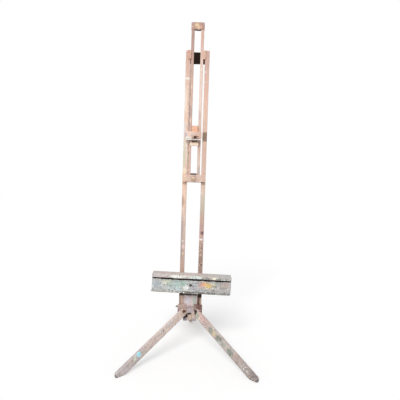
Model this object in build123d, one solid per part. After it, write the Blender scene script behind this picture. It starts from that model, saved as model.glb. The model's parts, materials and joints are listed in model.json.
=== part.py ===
from build123d import *
import math
import os

os.makedirs("parts", exist_ok=True)

# Radial studio easel: a two-stile mast that tilts on a three-legged hub, a sliding frame that
# extends the mast, a canvas clamp on that frame and a canvas tray lower down on the mast.
# Millimetres, +Z up, -Y towards the painter. Everything is drawn about the mast's own centre
# line, with the floor at Z = 0, and moved at the end so that the origin is the centre of the
# footprint.

# ---- clearances and edges ------------------------------------------------------------------
running_gap = 0.08  # radial, a bolt in a hole that turns on it
face_gap = 0.2      # between flat faces that turn on each other
slide_gap = 0.3     # between flat faces that slide on each other
stop_gap = 0.3      # between a leg and the stop that it is spread against
board_ease = 1.5    # chamfer on the edges of the boards
block_ease = 1.0    # chamfer on the edges of the small blocks

# ---- mast ----------------------------------------------------------------------------------
mast_width = 150.0
stile_width = 30.0
stile_depth = 24.0
mast_length = 1696.0
stile_toe_drop = 39.0  # stile ends below the tilt axis
stile_toe_radius = 11.0
tilt_axis_rise = 6.0   # above the front legs' pivots

head_plate_height = 70.0
head_plate_depth = 22.0
head_plate_drop = 4.0
cleat_width = 22.0
cleat_height = 57.0
cleat_thickness = 6.0
cleat_lap = 4.0  # how far a cleat reaches over the bar that it keeps in

# ---- sliding frame -------------------------------------------------------------------------
frame_side_play = 5.0    # on each side, between the frame and the stiles
bar_width = 20.0
bar_recess = 4.0         # bar fronts lie this far behind the stile fronts
bar_back_play = 0.5
frame_side_lean = 4.0    # the frame rests towards the left stile, within its side play
frame_extension = 172.0  # how far the frame is drawn out of the mast
frame_length = 1001.0
top_block_height = 48.0
top_block_overhang = 2.0
top_block_reach = 1.0    # how far the top block stands out in front of the bars
bar_tenon = 24.0
groove_width = 6.5
groove_depth = 5.5
crosspiece_height = 50.0
crosspiece_thickness = 18.0
bottom_rail_height = 60.0
back_plate_width = 130.0
back_plate_height = 46.0
back_plate_thickness = 16.0

# ---- canvas clamp --------------------------------------------------------------------------
clamp_block_rise = 233.0   # above the frame's foot
clamp_block_height = 130.0
clamp_foot_width = 60.0
clamp_foot_height = 25.0
canvas_notch_depth = 12.0  # in front of the bars, between the foot and the lip
clamp_reach = 8.0          # between the stile fronts and the back of the crossbar
crossbar_width = 106.0
crossbar_offset = -9.0     # crossbar centre from the frame's centre line
crossbar_rise = 44.0       # above the clamp block's foot
crossbar_height = 45.0
crossbar_thickness = 18.0
lip_thickness = 8.0
lip_depth = 20.0
clamp_bolt_rise = 10.0     # above the crossbar's lower edge

# ---- canvas tray ---------------------------------------------------------------------------
tray_width = 510.0
tray_offset = 5.5          # the boards' middle from the mast's centre line
tray_rise = 125.5          # top of the ledge above the top of the hub core
ledge_thickness = 24.0
ledge_depth = 70.0
ledge_overhang = 10.0
apron_height = 97.0
apron_thickness = 18.0
apron_rebate_height = 9.0  # along the apron's upper front edge, under the ledge
apron_rebate_depth = 7.0
strip_height = 15.0
strip_thickness = 4.0
strip_offset = -5.0        # the strip is nailed on this far to one side of the apron
bearer_width = 170.0
bearer_thickness = 18.0
bearer_height = 86.5
gusset_thickness = 20.0
gusset_spacing = 120.0
gusset_toe = 15.0
key_play = 3.0
key_height = 70.0
tray_plate_width = 130.0
tray_plate_height = 48.0
tray_plate_thickness = 16.0
tray_bolt_drop = 66.5      # below the ledge's top
tray_lean = 1.4            # degrees, right end low: the tray has settled within its key's play

# ---- hub -----------------------------------------------------------------------------------
core_foot = 26.0            # below the rear leg's pivot
core_rise = 110.0           # above the tilt axis
core_depth = 34.0
core_top_radius = 12.0
vee_block_overhang = 5.0    # past the outer faces of the stiles
vee_block_rise = 34.0       # above the legs' pivots
vee_block_drop = 48.0       # below the legs' pivots
vee_block_stand_off = 16.0  # room for the stile toes to swing in
peg_radius = 5.0
peg_ahead = 13.0  # of the pivot, along the leg and over its upper edge
peg_depth = 6.5

# ---- legs ----------------------------------------------------------------------------------
leg_width = 48.0
leg_thickness = 22.0
leg_nose = 26.0           # height of the plumb cut at the toe
leg_hole_rise = 14.0      # pivot hole above the middle of the leg's width
leg_heel = 15.0           # length of a front leg behind its pivot
leg_pivot_outset = 3.0    # from the inner face of a stile
leg_pivot_forward = 42.0  # from the fronts of the stiles
leg_pivot_height = 284.0
leg_azimuth = 49.9        # degrees from straight ahead
leg_slope = 29.85         # degrees below level
rear_leg_thickness = 28.0
rear_leg_slope = 25.0
rear_leg_nose = 40.0
rear_pivot_drop = 60.0    # below the front legs' pivots

# ---- bolts, washers, wing nuts and screws --------------------------------------------------
tilt_bolt_radius = 5.0
small_bolt_radius = 4.0
bolt_end_past_nut = 5.0
bolt_end_chamfer = 1.0
head_radius = 8.0
head_height = 4.0
knob_head_radius = 14.0
knob_head_height = 8.0
head_seat_depth = 8.0    # wood left under a sunk bolt head
head_pocket_play = 0.8
washer_thickness = 1.6
washer_edge = 5.0        # washer ring, past the bolt
screw_head_radius = 3.6
screw_head_height = 1.4
screw_slot_width = 0.9
cleat_screw_inset = 6.6  # from a cleat's outer edge
nut_wall = 4.5           # wing nut boss, past the bolt
nut_taper = 2.0          # radius that the boss loses towards its top
nut_collar = 0.3         # straight foot of the boss, as a share of its height
nut_tallness = 2.2       # boss height over bolt radius
ear_tip = 0.15           # ear tip radius over the nut's span
ear_rise = 0.4           # ear tips above the boss, over the tip radius
ear_strength = 0.8       # ear thickness over bolt radius
ear_root_width = 2.0
ear_root_height = 0.7    # as a share of the boss's height

tilt_nut_span = 42.0
tilt_nut_turn = 12.0  # degrees that each nut's ears are left turned by
leg_nut_span = 34.0
left_leg_nut_turn = 10.0
right_leg_nut_turn = 75.0
rear_leg_nut_span = 32.0
rear_leg_nut_turn = 30.0
frame_nut_span = 40.0
frame_nut_turn = 20.0
clamp_nut_span = 46.0
clamp_nut_turn = 8.0
tray_nut_span = 40.0
tray_nut_turn = -35.0

# ---- worked out ----------------------------------------------------------------------------
through = 2 * mast_width    # longer than anything that a hole or a cut runs through
mast_gap = mast_width - 2 * stile_width
stile_front = -stile_depth / 2
stile_back = stile_depth / 2
tilt_axis_height = leg_pivot_height + tilt_axis_rise
core_top = tilt_axis_height + core_rise
stile_bottom = tilt_axis_height - stile_toe_drop
mast_top = stile_bottom + mast_length

frame_width = mast_gap - 2 * frame_side_play
frame_centre = -frame_side_lean
frame_left = frame_centre - frame_width / 2
frame_right = frame_centre + frame_width / 2
frame_top = mast_top + frame_extension
bar_bottom = frame_top - frame_length
bar_front = stile_front + bar_recess
bar_back = stile_back - bar_back_play
crosspiece_bottom = bar_bottom
top_block_bottom = frame_top - top_block_height
frame_bolt_height = crosspiece_bottom + crosspiece_height / 2
crosspiece_back = stile_front - slide_gap
clamp_block_bottom = bar_bottom + clamp_block_rise
crossbar_bottom = clamp_block_bottom + crossbar_rise
clamp_bolt_height = crossbar_bottom + clamp_bolt_rise
crossbar_back = stile_front - clamp_reach
crossbar_front = crossbar_back - crossbar_thickness

ledge_top = core_top + tray_rise
ledge_back = stile_front - slide_gap
ledge_front = ledge_back - ledge_depth
ledge_bottom = ledge_top - ledge_thickness
apron_front = ledge_front + ledge_overhang
apron_back = apron_front + apron_thickness
apron_bottom = ledge_bottom - apron_height
bearer_front = ledge_back - bearer_thickness
bearer_bottom = ledge_bottom - bearer_height
tray_bolt_height = ledge_top - tray_bolt_drop

core_half_width = mast_gap / 2 - face_gap
core_front = -core_depth / 2
rear_pivot_height = leg_pivot_height - rear_pivot_drop
core_bottom = rear_pivot_height - core_foot
vee_block_end = mast_width / 2 + vee_block_overhang

leg_out = Vector(-math.sin(math.radians(leg_azimuth)), -math.cos(math.radians(leg_azimuth)), 0)
leg_pivot = Vector(
    -mast_gap / 2 - leg_pivot_outset, stile_front - leg_pivot_forward, leg_pivot_height
)
leg_plane = Plane(origin=leg_pivot, x_dir=leg_out, z_dir=leg_out.cross(Vector(0, 0, 1)))
rear_plane = Plane(origin=(0, 0, rear_pivot_height), x_dir=(0, 1, 0), z_dir=(1, 0, 0))
vee_offset = leg_thickness / 2 + face_gap

nodes = {}


# ---- shapes that are used again ------------------------------------------------------------
def board(x_range, y_range, z_range, ease=board_ease):
    """A rectangular board between the given limits, with its edges eased."""
    spans = [high - low for low, high in (x_range, y_range, z_range)]
    middles = [(high + low) / 2 for low, high in (x_range, y_range, z_range)]
    return chamfer((Pos(*middles) * Box(*spans)).edges(), ease)


def about(centre, width):
    """The two limits of a width that is centred on a place."""
    return centre - width / 2, centre + width / 2


def rod(plane, start, end, radius):
    """A round bar along a plane's normal, from one height above the plane to another."""
    return plane * Pos(0, 0, (start + end) / 2) * Cylinder(radius, end - start)


def dome_arc(radius, rise):
    """Half the outline of a round cap, from its rim to its top; a negative rise hangs down."""
    height = abs(rise)
    sphere = (radius**2 + height**2) / (2 * height)
    half_angle = math.asin(radius / sphere) / 2
    middle_height = height - sphere * (1 - math.cos(half_angle))
    middle = (sphere * math.sin(half_angle), math.copysign(middle_height, rise))
    return ThreePointArc((radius, 0), middle, (0, rise))


def facing(way):
    """The turn that points a piece along a plane's normal (+1) or against it (-1)."""
    return Rot(90 - 90 * way, 0, 0)


def bolt(plane, seat, end, radius, dome_radius=head_radius, dome_height=head_height):
    """A domed bolt: its head is seated at one height over the plane and its shank ends at the other."""
    way = 1 if end > seat else -1
    shank_length = abs(end - seat)
    outline = Polyline(
        (0, shank_length),
        (radius - bolt_end_chamfer, shank_length),
        (radius, shank_length - bolt_end_chamfer),
        (radius, 0),
        (dome_radius, 0),
    )
    dome = dome_arc(dome_radius, -dome_height)
    profile = make_face(outline + dome + Line((0, -dome_height), (0, shank_length)))
    body = revolve(Plane.XZ * profile, axis=Axis.Z)
    return plane * Pos(0, 0, seat) * facing(way) * body


def washer(plane, seat, way, radius):
    """A flat ring that lies on a seat over the plane, on the side that way (+1 or -1) points to."""
    far = seat + way * washer_thickness
    low, high = min(seat, far), max(seat, far)
    return rod(plane, low, high, radius + washer_edge) - rod(plane, low, high, radius + running_gap)


def wing_nut(plane, seat, way, radius, span, turn):
    """A wing nut on a seat over the plane: a tapered boss with two rounded ears."""
    bore = radius + running_gap
    boss_radius = radius + nut_wall
    boss_height = nut_height(radius)
    ear_radius = span * ear_tip
    ear_lift = boss_height + ear_radius * ear_rise
    outline = Polyline(
        (bore, 0),
        (boss_radius, 0),
        (boss_radius, boss_height * nut_collar),
        (boss_radius - nut_taper, boss_height),
        (bore, boss_height),
        close=True,
    )
    boss = revolve(Plane.XZ * make_face(outline), axis=Axis.Z)
    tip = Pos(span / 2 - ear_radius, ear_lift) * Circle(ear_radius)
    root_middle = (bore + boss_radius - nut_taper) / 2
    root = Pos(root_middle, boss_height / 2) * Rectangle(ear_root_width, boss_height * ear_root_height)
    ear_outline = make_hull(tip.edges() + root.edges())
    ear = extrude(Plane.XZ * ear_outline, radius * ear_strength / 2, both=True)
    nut = boss + ear + mirror(ear, about=Plane.YZ) - Cylinder(bore, 2 * span)
    return plane * Pos(0, 0, seat) * facing(way) * Rot(0, 0, turn) * nut


def nut_height(radius):
    """How tall the boss of a wing nut is on a bolt of this radius."""
    return radius * nut_tallness


def bolt_end(seat, way, radius):
    """Where a bolt ends when it carries a washer and a wing nut on this seat."""
    return seat + way * (washer_thickness + nut_height(radius) + bolt_end_past_nut)


def screw_heads(places, way):
    """Domed screw heads on faces that look along Y: -1 for front faces, +1 for back faces."""
    dome = dome_arc(screw_head_radius, screw_head_height)
    profile = make_face(dome + Polyline((0, screw_head_height), (0, 0), (screw_head_radius, 0)))
    head = revolve(Plane.XZ * profile, axis=Axis.Z)
    slot = Pos(0, 0, screw_head_height) * Box(2 * screw_head_radius, screw_slot_width, screw_head_height)
    head = head - slot
    return [Pos(*place) * Rot(-90 * way, 0, 0) * head for place in places]


def left_and_right(part):
    """A piece and its mirror image across the mast's centre plane."""
    return [part, mirror(part, about=Plane.YZ)]


def leg_blank(pivot_height, slope, thickness, nose, hole_rise=0.0, square_heel=0.0):
    """A leg in its own upright plane: round at the pivot, plumb at the toe, level at the sole.

    A square heel of some length behind the pivot keeps the full width of the wood under the hole.
    """
    rise = math.radians(slope)
    upper = leg_width / 2 - hole_rise
    lower = leg_width / 2 + hole_rise
    along_upper = (pivot_height - nose + upper * math.cos(rise)) / math.sin(rise)
    along_lower = (pivot_height - lower * math.cos(rise)) / math.sin(rise)
    toe = upper * math.sin(rise) + along_upper * math.cos(rise)
    heel = along_lower * math.cos(rise) - lower * math.sin(rise)
    foot = [(toe, nose - pivot_height), (toe, -pivot_height), (heel, -pivot_height)]
    upper_start = along_leg(slope, 0, upper)
    round_radius = square_heel if square_heel else upper
    round_end = along_leg(slope, -round_radius, upper - round_radius)
    round_share = round_radius * math.sqrt(0.5)
    over = along_leg(slope, -round_share, upper - round_radius + round_share)
    if square_heel:
        edges = Polyline(upper_start, *foot, along_leg(slope, -square_heel, -lower), round_end)
        outline = edges + ThreePointArc(round_end, over, upper_start)
    else:
        lower_start = along_leg(slope, 0, -lower)
        edges = Polyline(upper_start, *foot, lower_start)
        outline = edges + ThreePointArc(lower_start, round_end, upper_start)
    blank = extrude(make_face(outline), thickness / 2, both=True)
    return chamfer(blank.edges().filter_by(Axis.Z, reverse=True), block_ease)


def along_leg(slope, along, above):
    """Outward and upward distances from the pivot of a point along a leg and above its middle."""
    rise = math.radians(slope)
    outward = along * math.cos(rise) + above * math.sin(rise)
    upward = above * math.cos(rise) - along * math.sin(rise)
    return outward, upward


# ---- mast ----------------------------------------------------------------------------------
tilt_plane = Plane(origin=(0, 0, tilt_axis_height), x_dir=(0, 1, 0), z_dir=(1, 0, 0))

stile = board(
    (-mast_width / 2, -mast_gap / 2), (stile_front, stile_back), (stile_bottom, mast_top), block_ease
)
toe_cut = Pos(0, 0, stile_bottom) * Box(2 * through, 2 * stile_depth, 2 * stile_toe_radius)
toe_round = Plane.YZ * Pos(0, stile_bottom + stile_toe_radius) * SlotCenterToCenter(
    stile_depth - 2 * stile_toe_radius, 2 * stile_toe_radius
)
stile = stile - (toe_cut - extrude(toe_round, through, both=True))
stile = stile - rod(tilt_plane, -through, through, tilt_bolt_radius + running_gap)
nodes["stile_left"], nodes["stile_right"] = left_and_right(stile)

head_plate_top = mast_top - head_plate_drop
head_plate_middle = head_plate_top - head_plate_height / 2
nodes["head_plate"] = board(
    (-mast_width / 2, mast_width / 2),
    (stile_back, stile_back + head_plate_depth),
    (head_plate_top - head_plate_height, head_plate_top),
)


def guide_cleat(bar_edge, way):
    """A cleat on a stile's front whose lip reaches back over the edge of a sliding bar."""
    inner = bar_edge - way * cleat_lap
    outer = inner + way * cleat_width
    stile_edge = way * mast_gap / 2
    x_range = (min(inner, outer), max(inner, outer))
    lip_range = (min(inner, stile_edge), max(inner, stile_edge))
    z_range = (mast_top - cleat_height, mast_top)
    plate = board(x_range, (stile_front - cleat_thickness, stile_front), z_range, block_ease)
    lip = Pos(sum(lip_range) / 2, (stile_front + bar_front - slide_gap) / 2, sum(z_range) / 2) * Box(
        lip_range[1] - lip_range[0] - 2 * block_ease,
        bar_front - slide_gap - stile_front,
        cleat_height - 2 * block_ease,
    )
    return plate + lip


nodes["guide_cleat_left"] = guide_cleat(frame_left, -1)
nodes["guide_cleat_right"] = guide_cleat(frame_right, 1)

cleat_screw_rise = cleat_height / 4
cleat_middle = mast_top - cleat_height / 2
cleat_reach = cleat_width - cleat_lap
cleat_screw_left = frame_left - cleat_reach + cleat_screw_inset
cleat_screw_right = frame_right + cleat_reach - cleat_screw_inset
front_places = [
    (x, stile_front - cleat_thickness, cleat_middle + rise)
    for x in (cleat_screw_left, cleat_screw_right)
    for rise in (-cleat_screw_rise, cleat_screw_rise)
]
back_places = [
    (side * (mast_width - stile_width) / 2, stile_back + head_plate_depth, head_plate_middle + rise)
    for side in (-1, 1)
    for rise in (-cleat_screw_rise, cleat_screw_rise)
]
nodes["head_screws"] = screw_heads(front_places, -1) + screw_heads(back_places, 1)

# ---- sliding frame -------------------------------------------------------------------------
groove_middle = (bar_front + bar_back) / 2


def sliding_bar(outer, way):
    """A bar of the sliding frame, with a groove for the clamp block along its inner side."""
    inner = outer - way * bar_width
    x_range = (min(inner, outer), max(inner, outer))
    bar = board(x_range, (bar_front, bar_back), (bar_bottom, top_block_bottom + bar_tenon), block_ease)
    length = top_block_bottom + bar_tenon - bar_bottom
    middle = (top_block_bottom + bar_tenon + bar_bottom) / 2
    groove = Pos(inner, groove_middle, middle) * Box(2 * groove_depth, groove_width, length)
    return bar - groove


nodes["frame_bar_left"] = sliding_bar(frame_left, -1)
nodes["frame_bar_right"] = sliding_bar(frame_right, 1)

top_block = board(
    (frame_left - top_block_overhang, frame_right + top_block_overhang),
    (bar_front - top_block_reach, bar_back),
    (top_block_bottom, frame_top),
)
nodes["frame_top_block"] = top_block - nodes["frame_bar_left"] - nodes["frame_bar_right"]

frame_bolt_plane = Plane(origin=(frame_centre, 0, frame_bolt_height), x_dir=(1, 0, 0), z_dir=(0, 1, 0))
frame_bolt_hole = rod(frame_bolt_plane, -through, through, small_bolt_radius + running_gap)
crosspiece_front = crosspiece_back - crosspiece_thickness
plate_front = stile_back + slide_gap
plate_back = plate_front + back_plate_thickness
nodes["frame_crosspiece"] = (
    board(
        (-mast_width / 2, mast_width / 2),
        (crosspiece_front, crosspiece_back),
        (crosspiece_bottom, crosspiece_bottom + crosspiece_height),
    )
    - frame_bolt_hole
)
nodes["frame_bottom_rail"] = (
    board(
        (frame_left + bar_width, frame_right - bar_width),
        (crosspiece_back, bar_back),
        (bar_bottom, bar_bottom + bottom_rail_height),
        block_ease,
    )
    - frame_bolt_hole
)
nodes["frame_back_plate"] = (
    board(
        about(0, back_plate_width),
        (plate_front, plate_back),
        about(frame_bolt_height, back_plate_height),
    )
    - frame_bolt_hole
)
nodes["frame_bolt"] = bolt(
    frame_bolt_plane,
    crosspiece_front,
    bolt_end(plate_back, 1, small_bolt_radius),
    small_bolt_radius,
    knob_head_radius,
    knob_head_height,
)
nodes["frame_washer"] = washer(frame_bolt_plane, plate_back, 1, small_bolt_radius)
nodes["frame_wing_nut"] = wing_nut(
    frame_bolt_plane, plate_back + washer_thickness, 1, small_bolt_radius, frame_nut_span, frame_nut_turn
)

# ---- canvas clamp --------------------------------------------------------------------------
clamp_plane = Plane(origin=(0, 0, clamp_bolt_height), x_dir=(1, 0, 0), z_dir=(0, -1, 0))
clamp_bolt_hole = rod(clamp_plane, -through, through, small_bolt_radius + running_gap)
block_left = frame_left + bar_width + slide_gap
block_right = frame_right - bar_width - slide_gap
block_top = clamp_block_bottom + clamp_block_height
clamp_head_seat = -bar_back + head_height + slide_gap

block = board(
    (block_left, block_right), (crossbar_back, bar_back), (clamp_block_bottom, block_top), block_ease
)
foot_top = clamp_block_bottom + clamp_foot_height
foot = board(
    about(frame_centre, clamp_foot_width),
    (crossbar_back, bar_front - slide_gap),
    (clamp_block_bottom, foot_top),
    block_ease,
)
lip_bottom = crossbar_bottom - lip_thickness
canvas_notch = Pos(frame_centre, bar_front, (foot_top + lip_bottom) / 2) * Box(
    clamp_foot_width, 2 * canvas_notch_depth, lip_bottom - foot_top
)
tongue_reach = groove_depth - slide_gap
tongue_width = groove_width - 2 * slide_gap
tongues = Pos(frame_centre, groove_middle, (clamp_block_bottom + block_top) / 2) * Box(
    block_right - block_left + 2 * tongue_reach, tongue_width, clamp_block_height - 2 * block_ease
)
head_pocket = rod(clamp_plane, -through, clamp_head_seat, head_radius + head_pocket_play)
nodes["clamp_block"] = block + foot + tongues - canvas_notch - clamp_bolt_hole - head_pocket

crossbar_range = about(frame_centre + crossbar_offset, crossbar_width)
nodes["clamp_crossbar"] = (
    board(
        crossbar_range,
        (crossbar_front, crossbar_back),
        (crossbar_bottom, crossbar_bottom + crossbar_height),
    )
    - clamp_bolt_hole
)
nodes["clamp_lip"] = board(
    crossbar_range,
    (crossbar_back - lip_depth, crossbar_back),
    (lip_bottom, crossbar_bottom),
)
pad_reach = slide_gap + cleat_lap + board_ease
pad_z = (crossbar_bottom, crossbar_bottom + crossbar_height)
pad_y = (crossbar_back, bar_front - slide_gap)
nodes["clamp_pads"] = [
    board((frame_left + pad_reach, block_left), pad_y, pad_z, block_ease),
    board((block_right, frame_right - pad_reach), pad_y, pad_z, block_ease),
]
nodes["clamp_bolt"] = bolt(
    clamp_plane,
    clamp_head_seat,
    bolt_end(-crossbar_front, 1, small_bolt_radius),
    small_bolt_radius,
)
nodes["clamp_washer"] = washer(clamp_plane, -crossbar_front, 1, small_bolt_radius)
nodes["clamp_wing_nut"] = wing_nut(
    clamp_plane, -crossbar_front + washer_thickness, 1, small_bolt_radius, clamp_nut_span, clamp_nut_turn
)

# ---- canvas tray ---------------------------------------------------------------------------
tray_plane = Plane(origin=(0, 0, tray_bolt_height), x_dir=(1, 0, 0), z_dir=(0, 1, 0))
tray_bolt_hole = rod(tray_plane, -through, through, small_bolt_radius + running_gap)
tray_plate_front = stile_back + slide_gap
tray_plate_back = tray_plate_front + tray_plate_thickness
key_half = mast_gap / 2 - key_play

tray_pieces = {}
tray_pieces["tray_ledge"] = board(
    about(tray_offset, tray_width), (ledge_front, ledge_back), (ledge_bottom, ledge_top)
)
apron_rebate = Pos(tray_offset, apron_front, ledge_bottom) * Box(
    tray_width, 2 * apron_rebate_depth, 2 * apron_rebate_height
)
tray_pieces["tray_apron"] = (
    board(
        about(tray_offset, tray_width),
        (apron_front, apron_back),
        (apron_bottom, ledge_bottom),
        block_ease,
    )
    - apron_rebate
    - tray_bolt_hole
)
tray_pieces["tray_strip"] = board(
    about(tray_offset + strip_offset, tray_width),
    (apron_front - strip_thickness, apron_front),
    (apron_bottom, apron_bottom + strip_height),
    block_ease,
)
tray_pieces["tray_bearer"] = (
    board(
        about(0, bearer_width), (bearer_front, ledge_back), (bearer_bottom, ledge_bottom), block_ease
    )
    - tray_bolt_hole
)
gusset_outline = make_face(
    Polyline(
        (apron_back, ledge_bottom),
        (bearer_front, ledge_bottom),
        (bearer_front, bearer_bottom + gusset_toe),
        (apron_back, bearer_bottom),
        close=True,
    )
)
gusset = extrude(Plane.YZ * gusset_outline, gusset_thickness / 2, both=True)
tray_pieces["tray_gussets"] = left_and_right(Pos(-gusset_spacing / 2, 0, 0) * gusset)
tray_pieces["tray_key"] = (
    board(
        (-key_half, key_half),
        (ledge_back, stile_back - slide_gap),
        about(tray_bolt_height, key_height),
        block_ease,
    )
    - tray_bolt_hole
)
tray_pieces["tray_back_plate"] = (
    board(
        about(0, tray_plate_width),
        (tray_plate_front, tray_plate_back),
        about(tray_bolt_height, tray_plate_height),
    )
    - tray_bolt_hole
)
tray_pieces["tray_bolt"] = bolt(
    tray_plane, apron_front, bolt_end(tray_plate_back, 1, small_bolt_radius), small_bolt_radius
)
tray_pieces["tray_washer"] = washer(tray_plane, tray_plate_back, 1, small_bolt_radius)
tray_pieces["tray_wing_nut"] = wing_nut(
    tray_plane, tray_plate_back + washer_thickness, 1, small_bolt_radius, tray_nut_span, tray_nut_turn
)
screw_rows = (bearer_bottom + 2 * gusset_toe, ledge_bottom - gusset_toe)
screw_places = [
    (side * gusset_spacing / 2, apron_front, height) for side in (-1, 1) for height in screw_rows
]
tray_pieces["tray_screws"] = screw_heads(screw_places, -1)

tray_set = Pos(0, 0, tray_bolt_height) * Rot(0, tray_lean, 0) * Pos(0, 0, -tray_bolt_height)
for name, piece in tray_pieces.items():
    nodes[name] = [tray_set * each for each in piece] if isinstance(piece, list) else tray_set * piece

# ---- hub -----------------------------------------------------------------------------------
core = board(
    (-core_half_width, core_half_width), (core_front, -core_front), (core_bottom, core_top), block_ease
)
core_cap_cut = Pos(0, 0, core_top) * Box(2 * through, 2 * core_depth, 2 * core_top_radius)
core_cap = Plane.YZ * Pos(0, core_top - core_top_radius) * SlotCenterToCenter(
    core_depth - 2 * core_top_radius, 2 * core_top_radius
)
core = core - (core_cap_cut - extrude(core_cap, through, both=True))
core = core - rod(tilt_plane, -through, through, tilt_bolt_radius + running_gap)
core = core - rod(rear_plane, -through, through, small_bolt_radius + running_gap)

# The fork at the foot of the core: its roof follows the rear leg's upper edge and stops it there.
roof_radius = leg_width / 2 + stop_gap
roof_end = along_leg(rear_leg_slope, core_depth, roof_radius)
roof_start = along_leg(rear_leg_slope, 0, roof_radius)
fork_outline = Polyline(
    roof_start, roof_end, (roof_end[0], -through), (-roof_radius, -through), (-roof_radius, 0)
) + ThreePointArc((-roof_radius, 0), along_leg(rear_leg_slope, -roof_radius, 0), roof_start)
fork_half_width = rear_leg_thickness / 2 + face_gap
fork = extrude(rear_plane * make_face(fork_outline), fork_half_width, both=True)
nodes["hub_core"] = core - fork


def vee_point(outward):
    """A point of the left vee face, seen from above, at a distance along the leg's way out."""
    point = leg_plane.from_local_coords((outward, 0, vee_offset))
    return point.X, point.Y


leg_side = leg_plane.z_dir
vee_inner = vee_point((core_front - leg_pivot.Y - vee_offset * leg_side.Y) / leg_out.Y)
vee_outer = vee_point((-vee_block_end - leg_pivot.X - vee_offset * leg_side.X) / leg_out.X)
vee_back = stile_front - vee_block_stand_off
vee_outline = make_face(
    Polyline(
        vee_inner,
        vee_outer,
        (vee_outer[0], vee_back),
        (-core_half_width, vee_back),
        (-core_half_width, core_front),
        close=True,
    )
)
vee_block = extrude(Plane.XY * vee_outline, vee_block_rise + vee_block_drop)
vee_block = Pos(0, 0, leg_pivot_height - vee_block_drop) * vee_block
vee_block = chamfer(vee_block.edges().filter_by(Axis.Z, reverse=True), block_ease)

peg_rise = leg_width / 2 - leg_hole_rise + stop_gap + peg_radius
peg_out, peg_up = along_leg(leg_slope, peg_ahead, peg_rise)
peg_plane = leg_plane * Pos(peg_out, peg_up, 0)
peg = rod(peg_plane, -leg_thickness / 2, vee_offset + peg_depth, peg_radius)
leg_head_seat = vee_offset + head_seat_depth
vee_block = (
    vee_block
    - rod(peg_plane, 0, vee_offset + peg_depth, peg_radius)
    - rod(leg_plane, 0, through, small_bolt_radius + running_gap)
    - rod(leg_plane, leg_head_seat, through, head_radius + head_pocket_play)
)
nodes["hub_vee_block_left"], nodes["hub_vee_block_right"] = left_and_right(vee_block)
nodes["leg_stop_pegs"] = left_and_right(peg)

leg_nut_seat = -leg_thickness / 2
leg_bolt = bolt(
    leg_plane, leg_head_seat, bolt_end(leg_nut_seat, -1, small_bolt_radius), small_bolt_radius
)
nodes["front_leg_bolts"] = left_and_right(leg_bolt)
nodes["front_leg_washers"] = left_and_right(washer(leg_plane, leg_nut_seat, -1, small_bolt_radius))
leg_nut_place = (leg_plane, leg_nut_seat - washer_thickness, -1, small_bolt_radius, leg_nut_span)
nodes["leg_wing_nut_left"] = wing_nut(*leg_nut_place, left_leg_nut_turn)
nodes["leg_wing_nut_right"] = mirror(wing_nut(*leg_nut_place, right_leg_nut_turn), about=Plane.YZ)

nodes["rear_leg_bolt"] = bolt(
    rear_plane, core_half_width, bolt_end(-core_half_width, -1, small_bolt_radius), small_bolt_radius
)
nodes["rear_leg_washer"] = washer(rear_plane, -core_half_width, -1, small_bolt_radius)
nodes["rear_leg_wing_nut"] = wing_nut(
    rear_plane,
    -core_half_width - washer_thickness,
    -1,
    small_bolt_radius,
    rear_leg_nut_span,
    rear_leg_nut_turn,
)

tilt_head_seat = mast_width / 2 + washer_thickness
nodes["tilt_bolt"] = bolt(
    tilt_plane,
    tilt_head_seat,
    bolt_end(-mast_width / 2, -1, tilt_bolt_radius),
    tilt_bolt_radius,
)
nodes["tilt_washers"] = [
    washer(tilt_plane, mast_width / 2, 1, tilt_bolt_radius),
    washer(tilt_plane, -mast_width / 2, -1, tilt_bolt_radius),
]
nodes["tilt_wing_nut"] = wing_nut(
    tilt_plane, -mast_width / 2 - washer_thickness, -1, tilt_bolt_radius, tilt_nut_span, tilt_nut_turn
)

# ---- legs ----------------------------------------------------------------------------------
front_leg = leg_blank(
    leg_pivot_height, leg_slope, leg_thickness, leg_nose, leg_hole_rise, square_heel=leg_heel
)
front_leg = leg_plane * (front_leg - Cylinder(small_bolt_radius + running_gap, 2 * leg_thickness))
nodes["leg_left"], nodes["leg_right"] = left_and_right(front_leg)

rear_leg = leg_blank(rear_pivot_height, rear_leg_slope, rear_leg_thickness, rear_leg_nose)
rear_leg = rear_leg - Cylinder(small_bolt_radius + running_gap, 2 * rear_leg_thickness)
nodes["leg_rear"] = rear_plane * rear_leg

# ---- origin at the centre of the footprint, and the files ----------------------------------
solids = {
    name: [one for each in (piece if isinstance(piece, list) else [piece]) for one in each.solids()]
    for name, piece in nodes.items()
}
legs = Compound([solids[name][0] for name in ("leg_left", "leg_right", "leg_rear")])
footprint = legs.bounding_box()
to_origin = Pos(-footprint.center().X, -footprint.center().Y, -footprint.min.Z)

for name, group in solids.items():
    placed = [to_origin * one for one in group]
    shape = placed[0] if len(placed) == 1 else Compound(placed)
    export_step(shape, f"parts/{name}.step")
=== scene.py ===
import json
import math
import random

import bpy
import numpy as np
from mathutils import Matrix, Vector


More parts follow.
